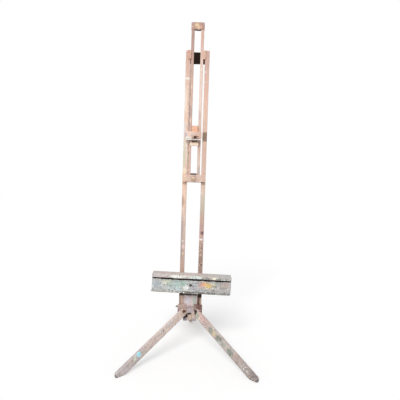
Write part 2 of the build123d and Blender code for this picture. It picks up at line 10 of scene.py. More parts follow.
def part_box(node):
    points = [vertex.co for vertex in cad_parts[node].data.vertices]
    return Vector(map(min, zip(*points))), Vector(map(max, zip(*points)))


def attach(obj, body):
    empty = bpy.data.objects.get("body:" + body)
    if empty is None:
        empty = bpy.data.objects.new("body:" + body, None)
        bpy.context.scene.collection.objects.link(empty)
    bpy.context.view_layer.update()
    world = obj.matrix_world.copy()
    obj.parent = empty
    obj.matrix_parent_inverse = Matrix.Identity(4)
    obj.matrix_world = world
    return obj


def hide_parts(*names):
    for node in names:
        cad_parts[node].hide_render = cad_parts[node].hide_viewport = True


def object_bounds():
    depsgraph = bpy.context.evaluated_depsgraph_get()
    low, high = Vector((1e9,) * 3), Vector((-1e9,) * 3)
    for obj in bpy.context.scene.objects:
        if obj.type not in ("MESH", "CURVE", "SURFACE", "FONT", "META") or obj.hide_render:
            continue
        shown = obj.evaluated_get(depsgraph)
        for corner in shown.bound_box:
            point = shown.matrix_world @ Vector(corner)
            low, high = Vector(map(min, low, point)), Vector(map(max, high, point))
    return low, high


# The looks of a worn wooden studio easel: knocked-about boards with rounded edges, threaded bolts,
# cast wing nuts, and the paint that years of use have left on them. Metres, +Z up, the painter's
# side faces -Y; only marks of paint and dirt are sized in millimetres. Colours are written as they
# look, in steps of 255.

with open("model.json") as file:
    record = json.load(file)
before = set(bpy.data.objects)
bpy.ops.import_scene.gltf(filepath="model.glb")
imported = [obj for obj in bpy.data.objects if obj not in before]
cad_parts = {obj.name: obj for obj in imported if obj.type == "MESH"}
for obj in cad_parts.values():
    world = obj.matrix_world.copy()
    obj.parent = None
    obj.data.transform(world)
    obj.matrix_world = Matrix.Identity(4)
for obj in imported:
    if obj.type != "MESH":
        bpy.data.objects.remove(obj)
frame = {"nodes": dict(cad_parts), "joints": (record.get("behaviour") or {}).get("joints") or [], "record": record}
cad_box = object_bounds()
bpy.ops.object.select_all(action="DESELECT")

nodes = frame["nodes"]
record = frame["record"]
joints = {joint["name"]: joint for joint in frame["joints"]}
body_of = {node: body for body, group in record["behaviour"]["bodies"].items() for node in group}

UP = Vector((0, 0, 1))
SIDEWAYS = Vector((1, 0, 0))
FORWARD = Vector((0, -1, 0))


def tone(color):
    """A colour as it looks, turned into the linear colour that a shader takes."""
    steps = [step / 255 for step in color]
    return [s / 12.92 if s <= 0.04045 else ((s + 0.055) / 1.055) ** 2.4 for s in steps] + [1.0]


# ---- shader trees ----
class Sheet:
    """A node tree, with short words for the nodes that are used again and again."""

    def __init__(self, tree):
        self.tree = tree

    def put(self, socket, value):
        if isinstance(value, bpy.types.NodeSocket):
            self.tree.links.new(value, socket)
        else:
            socket.default_value = value

    def add(self, kind, inputs=(), **settings):
        node = self.tree.nodes.new("ShaderNode" + kind)
        for name, value in settings.items():
            setattr(node, name, value)
        for name, value in dict(inputs).items():
            self.put(node.inputs[name], value)
        return node

    def math(self, operation, first, second=0.0):
        return self.add("Math", {0: first, 1: second}, operation=operation).outputs[0]

    def times(self, first, second):
        return self.math("MULTIPLY", first, second)

    def plus(self, first, second):
        return self.math("ADD", first, second)

    def vector(self, operation, first, second=(0, 0, 0), output="Vector"):
        inputs = {0: first, 1: second}
        return self.add("VectorMath", inputs, operation=operation).outputs[output]

    def length(self, vector):
        return self.vector("LENGTH", vector, output="Value")

    def noise(self, vector, scale, detail, output="Fac"):
        inputs = {"Vector": vector, "Scale": scale, "Detail": detail}
        return self.add("TexNoise", inputs).outputs[output]

    def spread(self, value, low, high, to_low=0.0, to_high=1.0):
        inputs = {"Value": value, "From Min": low, "From Max": high}
        inputs |= {"To Min": to_low, "To Max": to_high}
        return self.add("MapRange", inputs, interpolation_type="SMOOTHSTEP").outputs[0]

    def mix(self, share, first, second, blend="MIX"):
        node = self.add("Mix", {0: share, 6: first, 7: second}, data_type="RGBA", blend_type=blend)
        return node.outputs[2]

    def blend_values(self, share, first, second):
        return self.add("Mix", {0: share, 2: first, 3: second}, data_type="FLOAT").outputs[0]

    def group(self, tree, **inputs):
        node = self.tree.nodes.new("ShaderNodeGroup")
        node.node_tree = tree
        for name, value in inputs.items():
            self.put(node.inputs[name], value)
        return node.outputs

    def surface(self, **inputs):
        """The finished surface of a material."""
        named = {name.replace("_", " "): value for name, value in inputs.items()}
        shader = self.add("BsdfPrincipled", named)
        self.add("OutputMaterial", {"Surface": shader.outputs[0]})


def blank_tree(owner):
    """The empty node tree of a material or of the world."""
    owner.use_nodes = True
    owner.node_tree.nodes.clear()
    return owner.node_tree


VECTOR, COLOR, FLOAT = "NodeSocketVector", "NodeSocketColor", "NodeSocketFloat"


def new_group(name, inputs, outputs):
    """A new shader group: its sheet, the sockets that come in and the sockets that go out."""
    tree = bpy.data.node_groups.new(name, "ShaderNodeTree")
    for label, kind in inputs.items():
        tree.interface.new_socket(label, in_out="INPUT", socket_type=kind)
    for label, kind in outputs.items():
        tree.interface.new_socket(label, in_out="OUTPUT", socket_type=kind)
    come = tree.nodes.new("NodeGroupInput").outputs
    go = tree.nodes.new("NodeGroupOutput").inputs
    return Sheet(tree), come, go


def wood_grain_group():
    """Beech: faint growth rings about a pith, long fibres, and the short dark flecks of its rays.

    The grain runs along Z, so each pattern is drawn out along it by a small factor.
    """
    sheet, come, go = new_group(
        "wood grain",
        {"Vector": VECTOR, "Pith": VECTOR, "Pale": COLOR, "Dark": COLOR, "Rings": FLOAT},
        {"Color": COLOR, "Height": FLOAT},
    )
    lengthwise = sheet.vector("MULTIPLY", come["Vector"], (1, 1, 0.08))
    sway = sheet.noise(lengthwise, 22.0, 3.0)
    from_pith = sheet.vector("SUBTRACT", come["Vector"], come["Pith"])
    from_pith = sheet.vector("MULTIPLY", from_pith, (1, 1, 0.01))
    rings = sheet.times(sheet.length(from_pith), come["Rings"])
    rings = sheet.plus(rings, sheet.times(sway, 5.0))
    late_wood = sheet.math("POWER", sheet.math("FRACT", rings), 3.0)
    fibres = sheet.noise(sheet.vector("MULTIPLY", come["Vector"], (1, 1, 0.02)), 900.0, 3.0)
    flecks = sheet.noise(sheet.vector("MULTIPLY", come["Vector"], (1, 1, 0.14)), 1100.0, 1.0)
    flecks = sheet.spread(flecks, 0.60, 0.70)
    broad = sheet.noise(lengthwise, 9.0, 2.0)
    share = sheet.times(late_wood, 0.35)
    share = sheet.plus(share, sheet.spread(fibres, 0.3, 0.7, 0.0, 0.35))
    share = sheet.plus(share, sheet.spread(broad, 0.35, 0.7, -0.1, 0.35))
    share = sheet.plus(share, sheet.times(flecks, 0.3))
    sheet.put(go["Color"], sheet.mix(share, come["Pale"], come["Dark"]))
    height = sheet.plus(sheet.times(fibres, 0.6), sheet.times(late_wood, 0.3))
    sheet.put(go["Height"], sheet.math("SUBTRACT", height, sheet.times(flecks, 0.4)))
    return sheet.tree


def splash_group():
    """The share of one splash of paint, a ragged lump round a place, with a soft or a hard rim.

    A broken splash was dabbed on or has partly worn off again.
    """
    sheet, come, go = new_group(
        "paint splash",
        {"Vector": VECTOR, "Place": VECTOR, "Size": VECTOR, "Softness": FLOAT, "Broken": FLOAT},
        {"Mask": FLOAT},
    )
    offset = sheet.vector("SUBTRACT", come["Vector"], come["Place"])
    reach = sheet.length(sheet.vector("DIVIDE", offset, come["Size"]))
    inner = sheet.math("SUBTRACT", 1.0, come["Softness"])
    outer = sheet.plus(1.0, come["Softness"])
    mask = sheet.spread(reach, outer, inner)
    dabs = sheet.spread(sheet.noise(come["Vector"], 150.0, 3.0), 0.42, 0.58)
    worn = sheet.blend_values(come["Broken"], 1.0, dabs)
    sheet.put(go["Mask"], sheet.times(mask, worn))
    return sheet.tree


def specks_group():
    """Fine spatter: a drop in some of the cells of a loose pattern, each with its own number."""
    sheet, come, go = new_group(
        "paint specks",
        {"Vector": VECTOR, "Scale": FLOAT, "Amount": FLOAT, "Size": FLOAT},
        {"Mask": FLOAT, "Pick": FLOAT},
    )
    cells = sheet.add("TexVoronoi", {"Vector": come["Vector"], "Scale": come["Scale"]})
    chance, width, pick = sheet.add("SeparateColor", {"Color": cells.outputs["Color"]}).outputs
    crowding = sheet.noise(come["Vector"], 14.0, 2.0)
    crowding = sheet.spread(crowding, 0.35, 0.65, 0.3, 1.0)
    present = sheet.math("LESS_THAN", chance, sheet.times(come["Amount"], crowding))
    size = sheet.times(come["Size"], sheet.plus(width, 0.35))
    drop = sheet.math("LESS_THAN", cells.outputs["Distance"], size)
    sheet.put(go["Mask"], sheet.times(present, drop))
    sheet.put(go["Pick"], pick)
    return sheet.tree


def grime_group():
    """Dirt and handling: cloudy patches, fine scratches along the grain and dirt in the grain."""
    sheet, come, go = new_group(
        "grime",
        {"Vector": VECTOR, "Grain": VECTOR, "Height": FLOAT, "Amount": FLOAT},
        {"Mask": FLOAT},
    )
    clouds = sheet.spread(sheet.noise(come["Vector"], 26.0, 5.0), 0.42, 0.75)
    streaks = sheet.noise(sheet.vector("MULTIPLY", come["Grain"], (1, 1, 0.03)), 240.0, 3.0)
    streaks = sheet.spread(streaks, 0.52, 0.75)
    packed = sheet.spread(come["Height"], 0.5, 0.1, 0.0, 0.5)
    total = sheet.plus(sheet.times(clouds, 0.7), sheet.times(streaks, 0.5))
    total = sheet.times(sheet.plus(total, packed), come["Amount"])
    sheet.put(go["Mask"], sheet.math("MINIMUM", total, 1.0))
    return sheet.tree


def ragged_group():
    """Coordinates shaken by noise, coarse and fine, so that a rim drawn in them is ragged."""
    sheet, come, go = new_group("ragged", {"Vector": VECTOR, "Amount": FLOAT}, {"Vector": VECTOR})
    half = (0.5, 0.5, 0.5)
    coarse = sheet.vector("SUBTRACT", sheet.noise(come["Vector"], 38.0, 2.0, "Color"), half)
    fine = sheet.vector("SUBTRACT", sheet.noise(come["Vector"], 210.0, 3.0, "Color"), half)
    shake = sheet.vector("ADD", coarse, sheet.vector("MULTIPLY", fine, half))
    inputs = {0: shake, "Scale": come["Amount"]}
    shake = sheet.add("VectorMath", inputs, operation="SCALE").outputs[0]
    sheet.put(go["Vector"], sheet.vector("ADD", come["Vector"], shake))
    return sheet.tree


WOOD_GRAIN = wood_grain_group()
SPLASH = splash_group()
SPECKS = specks_group()
GRIME = grime_group()
RAGGED = ragged_group()

# What drops of paint are coloured: (from which share of the drops on, colour).
SPATTER = [
    (0.0, (244, 242, 236)), (0.4, (176, 180, 184)), (0.56, (232, 218, 180)),
    (0.68, (140, 160, 148)), (0.8, (190, 150, 138)), (0.9, (110, 112, 120)),
]
TRAY_SPATTER = [
    (0.0, (244, 244, 242)), (0.36, (134, 134, 134)), (0.6, (86, 86, 86)),
    (0.74, (214, 222, 220)), (0.9, (200, 178, 150)), (0.95, (120, 146, 134)),
]


def read_points(mesh, what):
    """The points' places or normals as an array."""
    values = np.empty(len(mesh.vertices) * 3, np.float32)
    mesh.vertices.foreach_get(what, values)
    return values.reshape(-1, 3).astype(float)


WIDEST_LEAN = 50.0      # degrees to each side that the callipers are turned
LEAN_STEP = 0.05


def laid_flat(points, facing):
    """The turn that lays a leaning board out level: along it, into it, and up across its width.

    Its lean is found as with callipers, which close on a board until it measures narrowest.
    """
    level = UP.cross(facing)
    out, up = points @ np.array(level), points @ np.array(UP)
    angles = np.radians(np.arange(-WIDEST_LEAN, WIDEST_LEAN, LEAN_STEP))
    across = np.outer(-np.sin(angles), out) + np.outer(np.cos(angles), up)
    angle = float(angles[np.argmin(across.max(1) - across.min(1))])
    way = level * math.cos(angle) + UP * math.sin(angle)
    rise = UP * math.cos(angle) - level * math.sin(angle)
    return Matrix((way, -facing, rise))


PALE_GRAIN = [1.07, 1.07, 1.07, 1.0]    # the three are multiplied with the wood's own tone
DARK_GRAIN = [0.80, 0.74, 0.70, 1.0]
END_GRAIN = [0.72, 0.62, 0.54, 1.0]
PITH = (0.06, 0.035, 0)                 # from the board's middle to the heart of its tree
NEXT_BOARD = Vector((0.01, 0.02, 0.7))  # each seed takes its board from another place in the tree
RAGGEDNESS = 0.012
RELIEF = 0.0012
MM = 0.001                              # a millimetre


class Finish(Sheet):
    """A material that is built up in coats: wood, paint, spatter, dirt and wear as on the real board, and in
    places painted shade and painted light.

    A mark's place is given in shares of the way across the board from the left, into it and up,
    and its size in millimetres, as its reach to each side of that place. A board that leans is
    given the way it faces, and its marks are then placed as if it lay level.
    """

    def __init__(self, name, node, along, seed, facing=None):
        self.material = bpy.data.materials.new(name)
        super().__init__(blank_tree(self.material))
        places = self.add("TexCoord").outputs
        self.place = places["Object"]
        self.facing = places["Normal"]
        points = read_points(nodes[node].data, "co")
        if facing is not None:
            turn = laid_flat(points, facing)
            along = turn[0].copy()
            points = points @ np.array(turn).T
        self.along = along
        self.low, self.high = Vector(points.min(0)), Vector(points.max(0))
        upright = along.rotation_difference(UP).to_matrix()
        low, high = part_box(node)
        inputs = {
            "Vector": self.place,
            "Location": NEXT_BOARD * seed - upright @ ((low + high) / 2),
            "Rotation": upright.to_euler(),
        }
        self.grained = self.add("Mapping", inputs).outputs[0]
        self.ragged = self.group(RAGGED, Vector=self.place, Amount=RAGGEDNESS)["Vector"]
        if facing is not None:
            inputs = {"Vector": self.ragged, "Rotation": turn.to_euler()}
            self.ragged = self.add("Mapping", inputs).outputs[0]
        self.edge = self.add("Attribute", attribute_name="edge").outputs["Fac"]
        self.color = tone((128, 128, 128))
        self.rough = 0.7
        self.height = 0.0
        self.metal = 0.0
        self.shine = 0.35

    def wood(self, *tones, rings=210.0):
        """Bare wood in one tone, or in several from one end of the board to the other.

        Several are given as (share of the way, tone), from the left or from the foot.
        """
        if len(tones) > 1:
            reach = self.high - self.low
            axis = max(range(3), key=lambda i: reach[i])
            way = self.add("SeparateXYZ", {"Vector": self.ragged}).outputs[axis]
            inputs = {"Value": way, "From Min": self.low[axis], "From Max": self.high[axis]}
            tint = self.ramp(self.add("MapRange", inputs).outputs[0], tones)
        else:
            tint = tone(tones[0])
        pale = self.mix(1.0, tint, PALE_GRAIN, "MULTIPLY")
        dark = self.mix(1.0, tint, DARK_GRAIN, "MULTIPLY")
        grain = self.group(
            WOOD_GRAIN, Vector=self.grained, Pith=PITH, Pale=pale, Dark=dark, Rings=rings
        )
        end = self.vector("DOT_PRODUCT", self.facing, self.along, "Value")
        end = self.math("ABSOLUTE", end)
        end = self.spread(end, 0.6, 0.85, 0.0, 0.55)
        self.color = self.mix(end, grain["Color"], END_GRAIN, "MULTIPLY")
        self.height = self.times(grain["Height"], 0.35)
        self.rough = 0.62
        return self

    def iron(self, bare, rust, share, metal):
        """Bare iron with rust on it; the rust is rough and dull."""
        cloud = self.noise(self.ragged, 160.0, 5.0)
        mask = self.spread(cloud, 0.70 - 0.4 * share, 0.85 - 0.4 * share)
        self.color = self.mix(mask, tone(bare), tone(rust))
        self.rough = self.blend_values(mask, 0.42, 0.85)
        self.metal = self.blend_values(mask, metal, 0.0)
        self.height = self.times(cloud, 0.4)
        return self

    def ramp(self, value, stops, interpolation="LINEAR"):
        """The colour that belongs to a value, between the given (value, colour) stops."""
        node = self.add("ValToRGB", {"Fac": value})
        node.color_ramp.interpolation = interpolation
        elements = node.color_ramp.elements
        for index, (at, color) in enumerate(stops):
            element = elements[index] if index < 2 else elements.new(at)
            element.position = at
            element.color = tone(color)
        return node.outputs["Color"]

    def coat(self, mask, color, rough, thickness=0.0):
        """Lays one colour on by a mask, with a finish and a thickness of its own."""
        self.color = self.mix(mask, self.color, color)
        self.rough = self.blend_values(mask, self.rough, rough)
        if thickness:
            self.height = self.plus(self.height, self.times(mask, thickness))
        return self

    def cover(self, *colors, scale, share, stretch=(1, 1, 1)):
        """Old paint or stain all over, mottled through several colours."""
        where = self.vector("MULTIPLY", self.ragged, stretch)
        cloud = self.spread(self.noise(where, scale, 5.0), 0.3, 0.7)
        last = len(colors) - 1
        mottle = self.ramp(cloud, [(i / last, color) for i, color in enumerate(colors)])
        thin = self.noise(self.ragged, scale * 1.7, 4.0)
        mask = self.spread(thin, 0.62 - 0.5 * share, 0.78 - 0.3 * share)
        mask = self.times(mask, min(1.0, share))
        return self.coat(mask, mottle, 0.6, 0.15)

    def splash(
        self, at, size, color, soft=0.25, strength=1.0, rough=0.42, thickness=0.5, broken=0.0
    ):
        """One splash of paint."""
        shares = zip(at, self.low, self.high)
        place = Vector([low + (high - low) * share for share, low, high in shares])
        size = [half * MM for half in size]
        mask = self.group(
            SPLASH, Vector=self.ragged, Place=place, Size=size, Softness=soft, Broken=broken
        )["Mask"]
        if strength < 1.0:
            mask = self.times(mask, strength)
        return self.coat(mask, tone(color), rough, thickness)

    def stain_or_painted_shade(self, at, size, color, strength=0.7, soft=0.5, broken=0.0):
        """A patch where dirt or old oil has sunk into the wood, or a patch of painted shade, with nothing on top
        of the wood.
        """
        return self.splash(at, size, color, soft, strength, rough=0.7, thickness=0.0, broken=broken)

    def patches(self, *marks, reach=8, **how):
        """Splashes on the front face, each with its place, its whole width and its whole height."""
        for across, height, width, tall, color in marks:
            self.splash((across, 0, height), (width / 2, reach, tall / 2), color, **how)
        return self

    def specks(self, amount, scale=120.0, size=0.3, spatter=SPATTER):
        """Fine drops of paint all over; the scale is the number of cells of the pattern a metre."""
        drops = self.group(SPECKS, Vector=self.ragged, Scale=scale, Amount=amount, Size=size)
        color = self.ramp(drops["Pick"], spatter, "CONSTANT")
        return self.coat(drops["Mask"], color, 0.4, 0.4)

    def grime(self, amount, color):
        mask = self.group(
            GRIME, Vector=self.place, Grain=self.grained, Height=self.height, Amount=amount
        )["Mask"]
        return self.coat(mask, tone(color), 0.75)

    def worn_edges(self, color, amount=0.4):
        """Edges that are rubbed down to paler wood or metal, and a little lower for it."""
        broken = self.noise(self.place, 70.0, 4.0)
        edge = self.spread(self.edge, 0.25, 0.75)
        mask = self.times(edge, self.spread(broken, 0.4, 0.6, 0.0, amount))
        return self.coat(mask, tone(color), 0.55, -0.2)

    def done(self, bump=0.5):
        inputs = {"Height": self.height, "Strength": bump, "Distance": RELIEF}
        self.surface(
            Normal=self.add("Bump", inputs).outputs[0],
            Base_Color=self.color,
            Roughness=self.rough,
            Metallic=self.metal,
            Specular_IOR_Level=self.shine,
        )
        return self.material


# ---- shaping ----
def add_object(name, data):
    piece = bpy.data.objects.new(name, data)
    bpy.context.scene.collection.objects.link(piece)
    return piece


def use_only(piece):
    """Makes one piece the only one that an operator acts on."""
    bpy.ops.object.select_all(action="DESELECT")
    piece.hide_set(False)
    piece.select_set(True)
    bpy.context.view_layer.objects.active = piece


def apply_place():
    """Moves the place of the piece in use into its mesh."""
    bpy.ops.object.transform_apply(location=True, rotation=True, scale=True)


def modify(piece, kind, **settings):
    """Adds a modifier and applies it."""
    use_only(piece)
    modifier = piece.modifiers.new(kind, kind)
    for name, value in settings.items():
        setattr(modifier, name, value)
    bpy.ops.object.modifier_apply(modifier=modifier.name)


def start_editing():
    bpy.ops.object.mode_set(mode="EDIT")
    bpy.ops.mesh.select_all(action="SELECT")


def stop_editing():
    """Turns every face outwards and goes back to whole pieces."""
    bpy.ops.mesh.select_all(action="SELECT")
    bpy.ops.mesh.normals_make_consistent(inside=False)
    bpy.ops.object.mode_set(mode="OBJECT")


def clouds(name, size):
    """A cloudy pattern that pushes a surface in and out."""
    pattern = bpy.data.textures.new(name, "CLOUDS")
    pattern.noise_scale = size
    return pattern


WELD = 0.00002          # points of a CAD mesh that lie closer than this are one
SMOOTH_ANGLE = math.radians(50)


def tidy_copy(node, name):
    """A copy of a node's mesh as a piece of its own, with its loose triangles joined up."""
    piece = add_object(name, nodes[node].data.copy())
    piece.data.materials.clear()
    use_only(piece)
    start_editing()
    bpy.ops.mesh.remove_doubles(threshold=WELD)
    stop_editing()
    return piece


def edge_sharpness(mesh, grid):
    """How far each point stands out from its neighbours: 0 on a flat face, 1 on a sharp edge."""
    places = read_points(mesh, "co")
    normals = read_points(mesh, "normal")
    pairs = np.empty(len(mesh.edges) * 2, np.int32)
    mesh.edges.foreach_get("vertices", pairs)
    first, second = pairs.reshape(-1, 2).T
    count = np.maximum(np.bincount(pairs, minlength=len(places)), 1)[:, None]
    around = np.zeros_like(places)
    np.add.at(around, first, places[second])
    np.add.at(around, second, places[first])
    stands_out_at_edge = grid * 0.22
    sharp = ((places - around / count) * normals).sum(1, keepdims=True) / stands_out_at_edge
    for _ in range(2):
        blurred = np.zeros_like(sharp)
        np.add.at(blurred, first, sharp[second])
        np.add.at(blurred, second, sharp[first])
        sharp = (sharp + blurred / count) / 2
    return np.clip(sharp[:, 0], 0.0, 1.0)


DENT_WIDTHS = (0.003, 0.009)
DENT_DEPTHS = (0.0004, 0.0016)


def knock(mesh, sharp, count, seed):
    """Dents along the edges, where the easel has been carried and dropped."""
    dice = random.Random(seed)
    places = read_points(mesh, "co")
    normals = read_points(mesh, "normal")
    edge_points = np.flatnonzero(sharp > 0.5)
    for _ in range(count if len(edge_points) else 0):
        middle = places[edge_points[dice.randrange(len(edge_points))]]
        radius = dice.uniform(*DENT_WIDTHS)
        depth = dice.uniform(*DENT_DEPTHS)
        near = np.clip(1 - np.linalg.norm(places - middle, axis=1) / radius, 0, 1)
        places -= normals * (near**2 * depth)[:, None]
    mesh.vertices.foreach_set("co", places.astype(np.float32).ravel())
    mesh.update()


def dress(piece, material):
    piece.data.materials.clear()
    piece.data.materials.append(material)


def settle(piece, node, material):
    """Gives a finished piece its material and its body, in place of its CAD node."""
    dress(piece, material)
    use_only(piece)
    bpy.ops.object.shade_smooth_by_angle(angle=SMOOTH_ANGLE)
    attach(piece, body_of[node])
    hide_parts(node)


def softened(node, ending, material, grid, skin, depth, rounds, level=0.0, knocks=0):
    """A node's shape with its edges run soft, its faces uneven, and dents along its edges."""
    piece = tidy_copy(node, node + ending)
    modify(piece, "REMESH", mode="VOXEL", voxel_size=grid)
    modify(piece, "SMOOTH", factor=0.5, iterations=rounds)
    push = {"strength": -depth, "mid_level": level}
    modify(piece, "DISPLACE", texture=skin, texture_coords="LOCAL", **push)
    sharp = edge_sharpness(piece.data, grid)
    knock(piece.data, sharp, knocks, node)
    layer = piece.data.attributes.new("edge", "FLOAT", "POINT")
    layer.data.foreach_set("value", sharp.astype(np.float32))
    settle(piece, node, material)


BOARD_GRID = 0.002      # the mesh size of a worn board, in metres
HOLLOWS = clouds("hollows", 0.045)
HOLLOW = 0.0005
HOLLOW_IN_RUBBED = 0.0012
ALL_INWARDS = -0.4      # below the pattern's darkest value, so that no point moves out
RUBBED = ("clamp_block", "leg_rear")    # they slide or swing between others, and are worn thinner


def worn_board(node, material):
    """A wooden piece as use has left it: rounded edges, shallow hollows, dented corners."""
    hollow = HOLLOW_IN_RUBBED if node in RUBBED else HOLLOW
    softened(
        node, "_worn", material, BOARD_GRID, HOLLOWS, hollow, rounds=3, level=ALL_INWARDS, knocks=24
    )


CASTING_GRID = 0.0007
CASTING_SKIN = clouds("casting skin", 0.0025)
CASTING_PITS = 0.00025


def cast_nut(node, material):
    """A wing nut as it comes from the mould: every corner run soft, a slightly pitted skin."""
    softened(node, "_cast", material, CASTING_GRID, CASTING_SKIN, CASTING_PITS, rounds=5)


TURNED_SIDES = 32


def turned(name, rings):
    """A piece turned on a lathe: rings of (radius, height) are drawn up one from the other."""
    radius, height = rings[0]
    bpy.ops.mesh.primitive_circle_add(
        vertices=TURNED_SIDES, radius=radius, location=(0, 0, height), fill_type="NGON"
    )
    piece = bpy.context.active_object
    piece.name = name
    apply_place()
    start_editing()
    for next_radius, next_height in rings[1:]:
        rise = (0, 0, next_height - height)
        bpy.ops.mesh.extrude_region_move(TRANSFORM_OT_translate={"value": rise})
        share = next_radius / radius
        bpy.ops.transform.resize(value=(share, share, 1), center_override=(0, 0, next_height))
        radius, height = next_radius, next_height
    stop_editing()
    return piece


THREAD_DEPTH = 0.0006
THREAD_PITCH = 0.0016
THREAD_EASE = 0.0001    # the thread's crest stays this far inside the nut's bore
THREAD_REACH = 0.012    # how far the thread runs on below the nut's own place
THREAD_STEPS = 24       # a turn
THREAD_MERGE = 0.000001
END_CHAMFER = 0.0008


def screw_thread(radius, start, end):
    """A thread along Z: one tooth swept up a helix, then cut square at both ends."""
    root = radius - THREAD_DEPTH
    tooth = [(root, 0, 0), (radius, 0, THREAD_PITCH / 2), (root, 0, THREAD_PITCH)]
    mesh = bpy.data.meshes.new("thread")
    mesh.from_pydata(tooth, [(0, 1), (1, 2)], [])
    piece = add_object("thread", mesh)
    piece.location = (0, 0, start - THREAD_PITCH)
    use_only(piece)
    apply_place()
    turns = math.ceil((end - start) / THREAD_PITCH) + 2
    modify(
        piece, "SCREW", axis="Z", angle=2 * math.pi, screw_offset=THREAD_PITCH, iterations=turns,
        steps=THREAD_STEPS, render_steps=THREAD_STEPS, use_merge_vertices=True,
        merge_threshold=THREAD_MERGE,
    )
    start_editing()
    for height, way in ((start, -1), (end, 1)):
        bpy.ops.mesh.select_all(action="SELECT")
        bpy.ops.mesh.bisect(
            plane_co=(0, 0, height), plane_no=(0, 0, way), use_fill=True, clear_outer=True
        )
    stop_editing()
    return piece


def on_axis(piece, axis_point, axis):
    """Moves a piece made along Z onto an axis of the easel."""
    use_only(piece)
    turn = Vector(axis).to_track_quat("Z", "Y").to_matrix().to_4x4()
    piece.matrix_world = Matrix.Translation(axis_point) @ turn
    apply_place()


def join(name, pieces):
    """Makes several meshes one piece."""
    use_only(pieces[0])
    for piece in pieces:
        piece.select_set(True)
    bpy.ops.object.join()
    pieces[0].name = name
    return pieces[0]


NEAR_AXIS = 0.02        # a bolt's own points lie closer to its axis than this
TIP = 0.003             # the shank is measured over this much of the bolt's end
HEAD_OVER_SHANK = 1.3   # points this many shank radii out belong to the head


def reach_along(node, joint):
    """How a bolt lies on its nut's axis: its foot, its head's seat, its tip and both radii."""
    axis = np.array(joint["axis"])
    points = read_points(nodes[node].data, "co") - np.array(joint["pos_m"])
    along = points @ axis
    out = np.linalg.norm(points - np.outer(along, axis), axis=1)
    own = out < NEAR_AXIS
    along, out = along[own], out[own]
    shank = out[along > along.max() - TIP].max()
    seat = along[out > shank * HEAD_OVER_SHANK].max()
    return along.min(), seat, along.max(), shank, out.max()


def threaded_bolt(node, joint_name, head_rings):
    """A bolt on a wing nut's axis: its head, a plain shank and a threaded end."""
    joint = joints[joint_name]
    foot, seat, tip, shank, head = reach_along(node, joint)
    tall = seat - foot
    crest = shank - THREAD_EASE
    root = crest - THREAD_DEPTH
    thread_start = max(seat + THREAD_PITCH, -THREAD_REACH)
    rings = [(head * across, foot + tall * up) for across, up in head_rings]
    rings += [(crest, seat), (crest, thread_start), (root, thread_start + THREAD_DEPTH)]
    rings += [(root, tip - END_CHAMFER), (root - END_CHAMFER, tip)]
    body = turned(node + "_turned", rings)
    thread = screw_thread(crest, thread_start, tip - END_CHAMFER)
    bolt = join(node + "_threaded", [body, thread])
    on_axis(bolt, joint["pos_m"], joint["axis"])
    return bolt


# A bolt's head from its outer end to its seat: (share of its radius, share of its height).
ROUND_HEAD = [(0.12, 0.0), (0.45, 0.08), (0.72, 0.28), (0.92, 0.58), (1.0, 0.9), (1.0, 1.0)]
KNOB_HEAD = [
    (0.1, 0.1), (0.4, 0.05), (0.62, 0.12), (0.7, 0.26), (0.76, 0.26), (0.84, 0.1),
    (0.93, 0.14), (1.0, 0.42), (0.98, 0.72), (0.86, 1.0),
]


# ---- boards ----
boards = {}     # each board's finish by its node, in the order in which the boards are made


def board(node, along, seed, name="", facing=None):
    """Starts the finish of one board."""
    name = name or node.replace("_", " ") + " wood"
    boards[node] = Finish(name, node, along, seed, facing)
    return boards[node]


# painted shadow that the tray casts on the stiles and on the hub core below it
PAINTED_TRAY_SHADOW = (40, 26, 20)
CREAM = (250, 232, 206)
WHITE_PAINT = (250, 247, 240)
DULL = (168, 138, 124)


